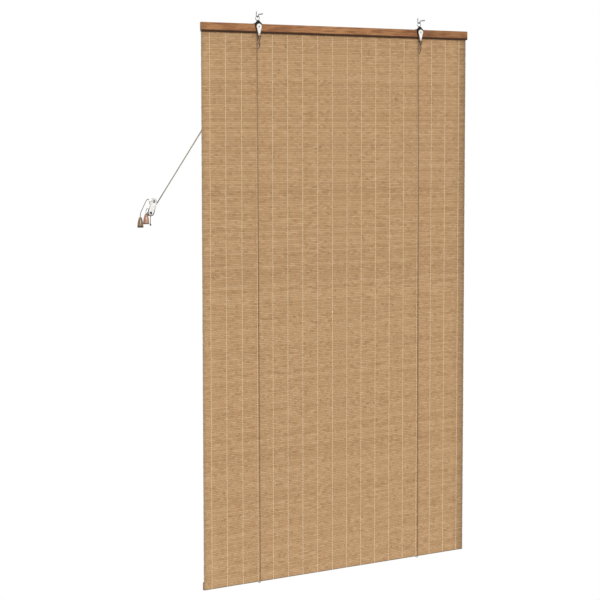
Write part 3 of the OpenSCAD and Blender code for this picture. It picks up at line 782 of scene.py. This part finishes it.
def row_tree():
    tree = bpy.data.node_groups.new("row_of_pieces", "GeometryNodeTree")
    sockets = tree.interface
    for label, kind in (("Geometry", "Geometry"), ("Piece", "Object"), ("Count", "Int"), ("Start", "Vector"),
                        ("Step", "Vector"), ("Tilt", "Float"), ("Stretch", "Float"), ("Slide", "Float"),
                        ("Wave", "Float"), ("Seed", "Int"), ("Material", "Material")):
        sockets.new_socket(name=label, in_out="INPUT", socket_type="NodeSocket" + kind)
    sockets.new_socket(name="Geometry", in_out="OUTPUT", socket_type="NodeSocketGeometry")
    given = tree.nodes.new("NodeGroupInput").outputs
    result = tree.nodes.new("NodeGroupOutput")
    line = put(tree, "GeometryNodeMeshLine", {"mode": "OFFSET"}, Count=given["Count"],
               Start_Location=given["Start"], Offset=given["Step"])
    piece = put(tree, "GeometryNodeObjectInfo", Object=given["Piece"])

    def spread(amount, draw):
        chosen = math_node(tree, "ADD", given["Seed"], draw)
        node = put(tree, "FunctionNodeRandomValue", {"data_type": "FLOAT"}, Min=-1.0, Max=1.0, Seed=chosen)
        return times(tree, named(node.outputs, "Value"), amount)

    slide = put(tree, "ShaderNodeCombineXYZ", X=spread(given["Slide"], 1))
    moved = put(tree, "GeometryNodeSetPosition", Geometry=line.outputs[0], Offset=slide.outputs[0])
    tilt = put(tree, "ShaderNodeCombineXYZ", X=spread(given["Tilt"], 2))
    tall = math_node(tree, "ADD", spread(given["Stretch"], 3), 1.0)
    size = put(tree, "ShaderNodeCombineXYZ", X=1.0, Y=1.0, Z=tall)
    copies = put(tree, "GeometryNodeInstanceOnPoints", Points=moved.outputs[0],
                 Instance=named(piece.outputs, "Geometry"), Rotation=tilt.outputs[0], Scale=size.outputs[0])
    shade = math_node(tree, "ADD", spread(0.5, 4), 0.5)
    toned = put(tree, "GeometryNodeStoreNamedAttribute", {"data_type": "FLOAT", "domain": "INSTANCE"},
                Geometry=copies.outputs[0], Name="tone", Value=shade)
    real = put(tree, "GeometryNodeRealizeInstances", Geometry=toned.outputs[0])
    read = put(tree, "GeometryNodeInputNamedAttribute", {"data_type": "FLOAT"}, Name="tone")
    spot = axes(tree, tree.nodes.new("GeometryNodeInputPosition").outputs[0])
    lane = put(tree, "ShaderNodeCombineXYZ", X=times(tree, spot["X"], WAVE_DENSITY),
               Y=times(tree, named(read.outputs, "Attribute"), WAVE_SPREAD))
    noise = put(tree, "ShaderNodeTexNoise", Vector=lane.outputs[0], Scale=1.0, Detail=1.0)
    rise = times(tree, math_node(tree, "SUBTRACT", noise.outputs[0], 0.5), given["Wave"])
    lift = put(tree, "ShaderNodeCombineXYZ", Z=rise)
    waved = put(tree, "GeometryNodeSetPosition", Geometry=real.outputs[0], Offset=lift.outputs[0])
    dressed = put(tree, "GeometryNodeSetMaterial", Geometry=waved.outputs[0], Material=given["Material"])
    tree.links.new(dressed.outputs[0], result.inputs[0])
    return tree


ROW = row_tree()


def row(name, piece, mat, **values):
    """The copies as one plain mesh object; the piece that they are copied from is removed."""
    carrier = bpy.data.objects.new(name + "_row", bpy.data.meshes.new(name + "_row"))
    bpy.context.scene.collection.objects.link(carrier)
    modifier = carrier.modifiers.new("row", "NODES")
    modifier.node_group = ROW
    values.update(Piece=piece, Material=mat)
    for item in ROW.interface.items_tree:
        if item.in_out == "INPUT" and item.name in values:
            modifier[item.identifier] = values[item.name]
    bpy.context.view_layer.update()
    graph = bpy.context.evaluated_depsgraph_get()
    mesh = bpy.data.meshes.new_from_object(carrier.evaluated_get(graph), preserve_all_data_layers=True,
                                           depsgraph=graph)
    carrier.modifiers.clear()
    bpy.data.objects.remove(carrier)
    bpy.data.objects.remove(piece)
    mesh.name = name
    obj = bpy.data.objects.new(name, mesh)
    bpy.context.scene.collection.objects.link(obj)
    mesh.polygons.foreach_set("use_smooth", [True] * len(mesh.polygons))
    return obj


# Mat: the head stays at the rail, the hem rides with the bottom batten, and the middle is a piece of its own
# between them
HEM_SLATS = 5
HEAD_SLATS = 15
SPANS = {"hem": (0, HEM_SLATS), "middle": (HEM_SLATS, SLAT_COUNT - HEAD_SLATS),
         "head": (SLAT_COUNT - HEAD_SLATS, SLAT_COUNT)}


def slat_edge(i):
    return -DROP + i * SLAT_PITCH


def hang(piece, span, node):
    stand_for(piece, node, body="bottom_bar" if span == "hem" else "frame")
    if span == "middle":
        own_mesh(piece)


# Slats: one crowned strip, copied up the mat, with notches where the cords pass between two of them
SLAT_SECTION = [(-1.4, 0), (-1.22, -1.6), (-0.5, -2.54), (0.5, -2.54), (1.22, -1.6),
                (1.4, 0), (1.22, 1.6), (0.5, 2.54), (-0.5, 2.54), (-1.22, 1.6)]
NOTCHES = [(-269, -46), (-270, -70), (281, -46), (280, -70)]
NOTCH_HALF_W = 1.3
NOTCH_HALF_H = 1.6
NOTCH_SLOPE = 0.3
NOTCH_SLATS = 1.5
NOTCH_MARGIN = 0.1
BAYS = 20
SLAT_TILT = math.radians(5)
SLAT_STRETCH = 0.02
SLAT_SLIDE = 0.3
SLAT_WAVE = 0.6
SLAT_SEED = 7


def slat_strip(stations):
    sides = len(SLAT_SECTION)
    points = [(x * MM, y * MM, z * MM) for x in stations for y, z in SLAT_SECTION]
    faces = []
    for i in range(len(stations) - 1):
        for k in range(sides):
            n = (k + 1) % sides
            faces.append((i * sides + n, i * sides + k, (i + 1) * sides + k, (i + 1) * sides + n))
    faces.append(tuple(range(sides)))
    faces.append(tuple(range(len(points) - 1, len(points) - 1 - sides, -1)))
    return mesh_object("slat_strip", points, faces)


def cut_notches(slats, stations, lowest, count):
    """Press the slats beside each cord up or down, at the stations of its notch."""
    co = np.empty(len(slats.data.vertices) * 3, np.float32)
    slats.data.vertices.foreach_get("co", co)
    co = co.reshape(count, -1, 3)
    middle = lowest + np.arange(count) * SLAT_PITCH * MM
    for x, height in NOTCHES:
        inside = np.repeat(np.abs(np.array(stations) - x) < NOTCH_HALF_W + NOTCH_MARGIN, len(SLAT_SECTION))
        z = height_of(height)
        for i in np.flatnonzero(np.abs(middle - z) < NOTCH_SLATS * SLAT_PITCH * MM):
            held = co[i, :, 2]
            if middle[i] < z:
                held[inside] = np.minimum(held[inside], z - NOTCH_HALF_H * MM)
            else:
                held[inside] = np.maximum(held[inside], z + NOTCH_HALF_H * MM)
    slats.data.vertices.foreach_set("co", co.ravel())
    slats.data.update()


for span, (low, high) in SPANS.items():
    stations = [-MAT_W / 2 + i * MAT_W / BAYS for i in range(BAYS + 1)]
    if span == "head":
        for x, height in NOTCHES:
            for reach in (NOTCH_HALF_W, NOTCH_HALF_W + NOTCH_SLOPE):
                stations += [x - reach, x + reach]
    stations.sort()
    first = at((0, 0, slat_edge(low + 0.5)))
    slats = row("bamboo_slats_" + span, slat_strip(stations), BAMBOO, Count=high - low, Start=tuple(first),
                Step=(0, 0, SLAT_PITCH * MM), Tilt=SLAT_TILT, Stretch=SLAT_STRETCH, Slide=SLAT_SLIDE * MM,
                Wave=SLAT_WAVE * MM, Seed=SLAT_SEED + low)
    if span == "head":
        cut_notches(slats, stations, first.z, high - low)
    hang(slats, span, "bamboo_mat")

# Warp threads: pairs that lie on the faces of the slats in turn and cross between them
THREAD_REACH = 1.55
THREAD_HALF_W = 1.25
THREAD_HALF_T = 0.3
THREAD_HOLD = 1.75
THREAD_SECTION = [(-THREAD_HALF_W, 0), (0, -THREAD_HALF_T), (THREAD_HALF_W, 0), (0, THREAD_HALF_T)]
THREAD_INSET = 0.05
RAIL_CLEAR = 0.2
THREAD_SLIDE = 0.6
THREAD_SEED = 3


def warp_thread(span, phase):
    """Points and faces of one thread; in the hem it keeps to the wall side, away from the batten."""
    low, high = SPANS[span]
    stations = [] if span == "hem" else [(slat_edge(low) + THREAD_INSET, 0)]
    for i in range(low, high):
        face = -1 if span == "hem" else phase * (1 if i % 2 else -1)
        for rise in (-THREAD_HOLD, THREAD_HOLD):
            z = slat_edge(i + 0.5) + rise
            if z < -RAIL_H - RAIL_CLEAR:
                stations.append((z, THREAD_REACH * face))
    if span != "head":
        stations.append((slat_edge(high) - THREAD_INSET, 0))
    points = [(dx * MM, (y + dy) * MM, z * MM) for z, y in stations for dx, dy in THREAD_SECTION]
    sides = len(THREAD_SECTION)
    faces = walls(len(stations), sides)
    faces += [tuple(range(sides))[::-1], tuple(range(len(points) - sides, len(points)))]
    return points, faces, []


first = at((-THREAD_PITCH * (THREAD_COUNT - 1) / 2, 0, 0))
for span in SPANS:
    phases = (1,) if span == "hem" else (1, -1)
    points, faces, uvs = joined([warp_thread(span, phase) for phase in phases])
    pair = mesh_object("thread_pair", points, faces)
    threads = row("warp_threads_" + span, pair, THREAD, Count=THREAD_COUNT, Start=tuple(first),
                  Step=(THREAD_PITCH * MM, 0, 0), Tilt=0.0, Stretch=0.0, Slide=THREAD_SLIDE * MM, Wave=0.0,
                  Seed=THREAD_SEED)
    hang(threads, span, "warp_threads")

# Screw threads on the hooks' shanks
SCREW_TURNS = 9
SCREW_PITCH = 1.6
SCREW_START = -16.4
SCREW_STEPS = 24
RIDGE_R = 0.32
RIDGE_SIDES = 4
SHANK_R = 1.6
for side, x in SIDES.items():
    coil = []
    for i in range(SCREW_TURNS * SCREW_STEPS + 1):
        a = 2 * math.pi * i / SCREW_STEPS
        depth = SCREW_START + SCREW_PITCH * i / SCREW_STEPS
        coil.append(Vector(((x + SHANK_R * math.cos(a)) * MM, depth * MM, SHANK_R * math.sin(a) * MM)))
    points, faces, uvs = tube(coil, RIDGE_R * MM, RIDGE_SIDES)
    ridge = mesh_object("hook_screw_thread_" + side, points, faces, STEEL, uvs)
    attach(ridge, "frame")

# Materials of the solids that stay
LOOKS = {
    "head_rail": RAIL, "top_batten": BATTEN, "bottom_batten": BATTEN, "batten_tacks": TACK,
    "bottom_tacks": TACK, "screw_hook": STEEL, "screw_eye": STEEL, "cord_guide": STEEL, "eye_collar": BLACK,
    "hanger_plate": PLATE, "front_cheek": BRIGHT, "sheave": SHEAVE, "axle_rivet": RIVET,
    "becket_pin": BEAD, "cleat": CLEAT_METAL}
for name, obj in nodes.items():
    base = name.removesuffix("_left").removesuffix("_right")
    if base in LOOKS:
        for held in obj.material_slots:
            held.material = LOOKS[base]

# Plain pale floor, soft light and white surroundings, in metres
WHITE = (1, 1, 1, 1)
SOFT_WHITE = (1, 0.99, 0.97, 1)
SOFT_STRENGTH = 0.4
FLOOR_COLOR = (0.86, 0.85, 0.83, 1)
FLOOR_Z = -2.15
FLOOR_HALF = 7.0
FADE_FROM = 0.6
FADE_TO = 1.3
FADE_LEAST = 0.75


def seen_directly(tree):
    path = tree.nodes.new("ShaderNodeLightPath")
    either = math_node(tree, "MAXIMUM", path.outputs["Is Camera Ray"], path.outputs["Is Glossy Ray"])
    return math_node(tree, "MAXIMUM", either, path.outputs["Is Transmission Ray"])


def blended(tree, share, first, second, output):
    """Send two shaders, mixed by a share, to an output node."""
    blend = tree.nodes.new("ShaderNodeMixShader")
    tree.links.new(share, blend.inputs[0])
    tree.links.new(first.outputs[0], blend.inputs[1])
    tree.links.new(second.outputs[0], blend.inputs[2])
    tree.links.new(blend.outputs[0], tree.nodes.new(output).inputs[0])


world = bpy.data.worlds.new("studio")
bpy.context.scene.world = world
world.use_nodes = True
tree = world.node_tree
tree.nodes.clear()
soft = put(tree, "ShaderNodeBackground", Color=SOFT_WHITE, Strength=SOFT_STRENGTH)
white = put(tree, "ShaderNodeBackground", Color=WHITE, Strength=1.0)
blended(tree, seen_directly(tree), soft, white, "ShaderNodeOutputWorld")

floor_mat = bpy.data.materials.new("pale_floor")
floor_mat.use_nodes = True
tree = floor_mat.node_tree
tree.nodes.clear()
flat = put(tree, "ShaderNodeVectorMath", {"operation": "MULTIPLY"})
tree.links.new(place(tree), flat.inputs[0])
flat.inputs[1].default_value = (1, 1, 0)
away = put(tree, "ShaderNodeVectorMath", {"operation": "LENGTH"})
tree.links.new(flat.outputs[0], away.inputs[0])
fade = put(tree, "ShaderNodeMapRange", {"clamp": True}, Value=away.outputs["Value"], From_Min=FADE_FROM,
           From_Max=FADE_TO, To_Min=FADE_LEAST, To_Max=1.0)
matte = put(tree, "ShaderNodeBsdfDiffuse", Color=FLOOR_COLOR)
glow = put(tree, "ShaderNodeEmission", Color=WHITE, Strength=1.0)
blended(tree, times(tree, fade.outputs[0], seen_directly(tree)), matte, glow, "ShaderNodeOutputMaterial")
corners = [(-FLOOR_HALF, -FLOOR_HALF, FLOOR_Z), (FLOOR_HALF, -FLOOR_HALF, FLOOR_Z),
           (FLOOR_HALF, FLOOR_HALF, FLOOR_Z), (-FLOOR_HALF, FLOOR_HALF, FLOOR_Z)]
floor = mesh_object("floor", corners, [(0, 1, 2, 3)], floor_mat, smooth=False)


def sun(name, strength, spread, toward):
    data = bpy.data.lights.new(name, "SUN")
    data.energy = strength
    data.angle = math.radians(spread)
    lamp = bpy.data.objects.new(name, data)
    lamp.rotation_euler = Vector(toward).to_track_quat("-Z", "Y").to_euler()
    bpy.context.scene.collection.objects.link(lamp)


sun("key", strength=2.1, spread=12, toward=(0.3, 0.82, -0.34))
sun("back_fill", strength=0.9, spread=40, toward=(0.2, -0.8, -0.45))

bpy.context.scene.view_settings.view_transform = "Standard"
